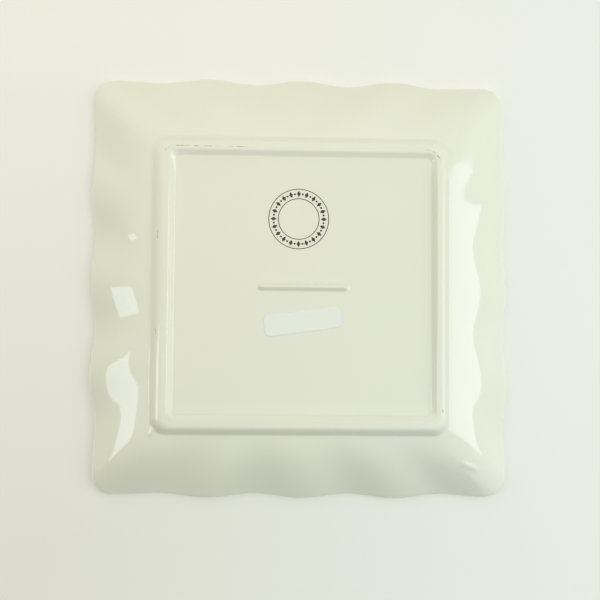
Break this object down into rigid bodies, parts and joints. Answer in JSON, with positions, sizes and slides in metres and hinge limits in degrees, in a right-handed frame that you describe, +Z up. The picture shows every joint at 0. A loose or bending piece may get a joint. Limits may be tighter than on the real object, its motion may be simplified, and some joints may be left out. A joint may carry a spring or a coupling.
{
  "type": "square salad plate",
  "caption": "Square coupe salad plate with a scalloped, fluted rim and rounded corners, a shallow well on the eating side and a square foot ring with a short rib underneath.",
  "frame": {"origin": "centre of the foot ring's resting plane", "axes": "+Z up out of the eating face, X and Y along the sides; the rib under the plate runs along X, with the printed mark on its -Y side and the paper label on its +Y side"},
  "size_m": [0.21, 0.21, 0.02],
  "materials": {
    "glazed_stoneware": "glossy cream glaze",
    "fired_ink": "glossy black print fired under the glaze",
    "label_paper": "matt white paper"
  },
  "bodies": {
    "root": {"plate_body": "glazed_stoneware", "backstamp_transfer": "fired_ink", "paper_label": "label_paper"}
  },
  "joints": []
}
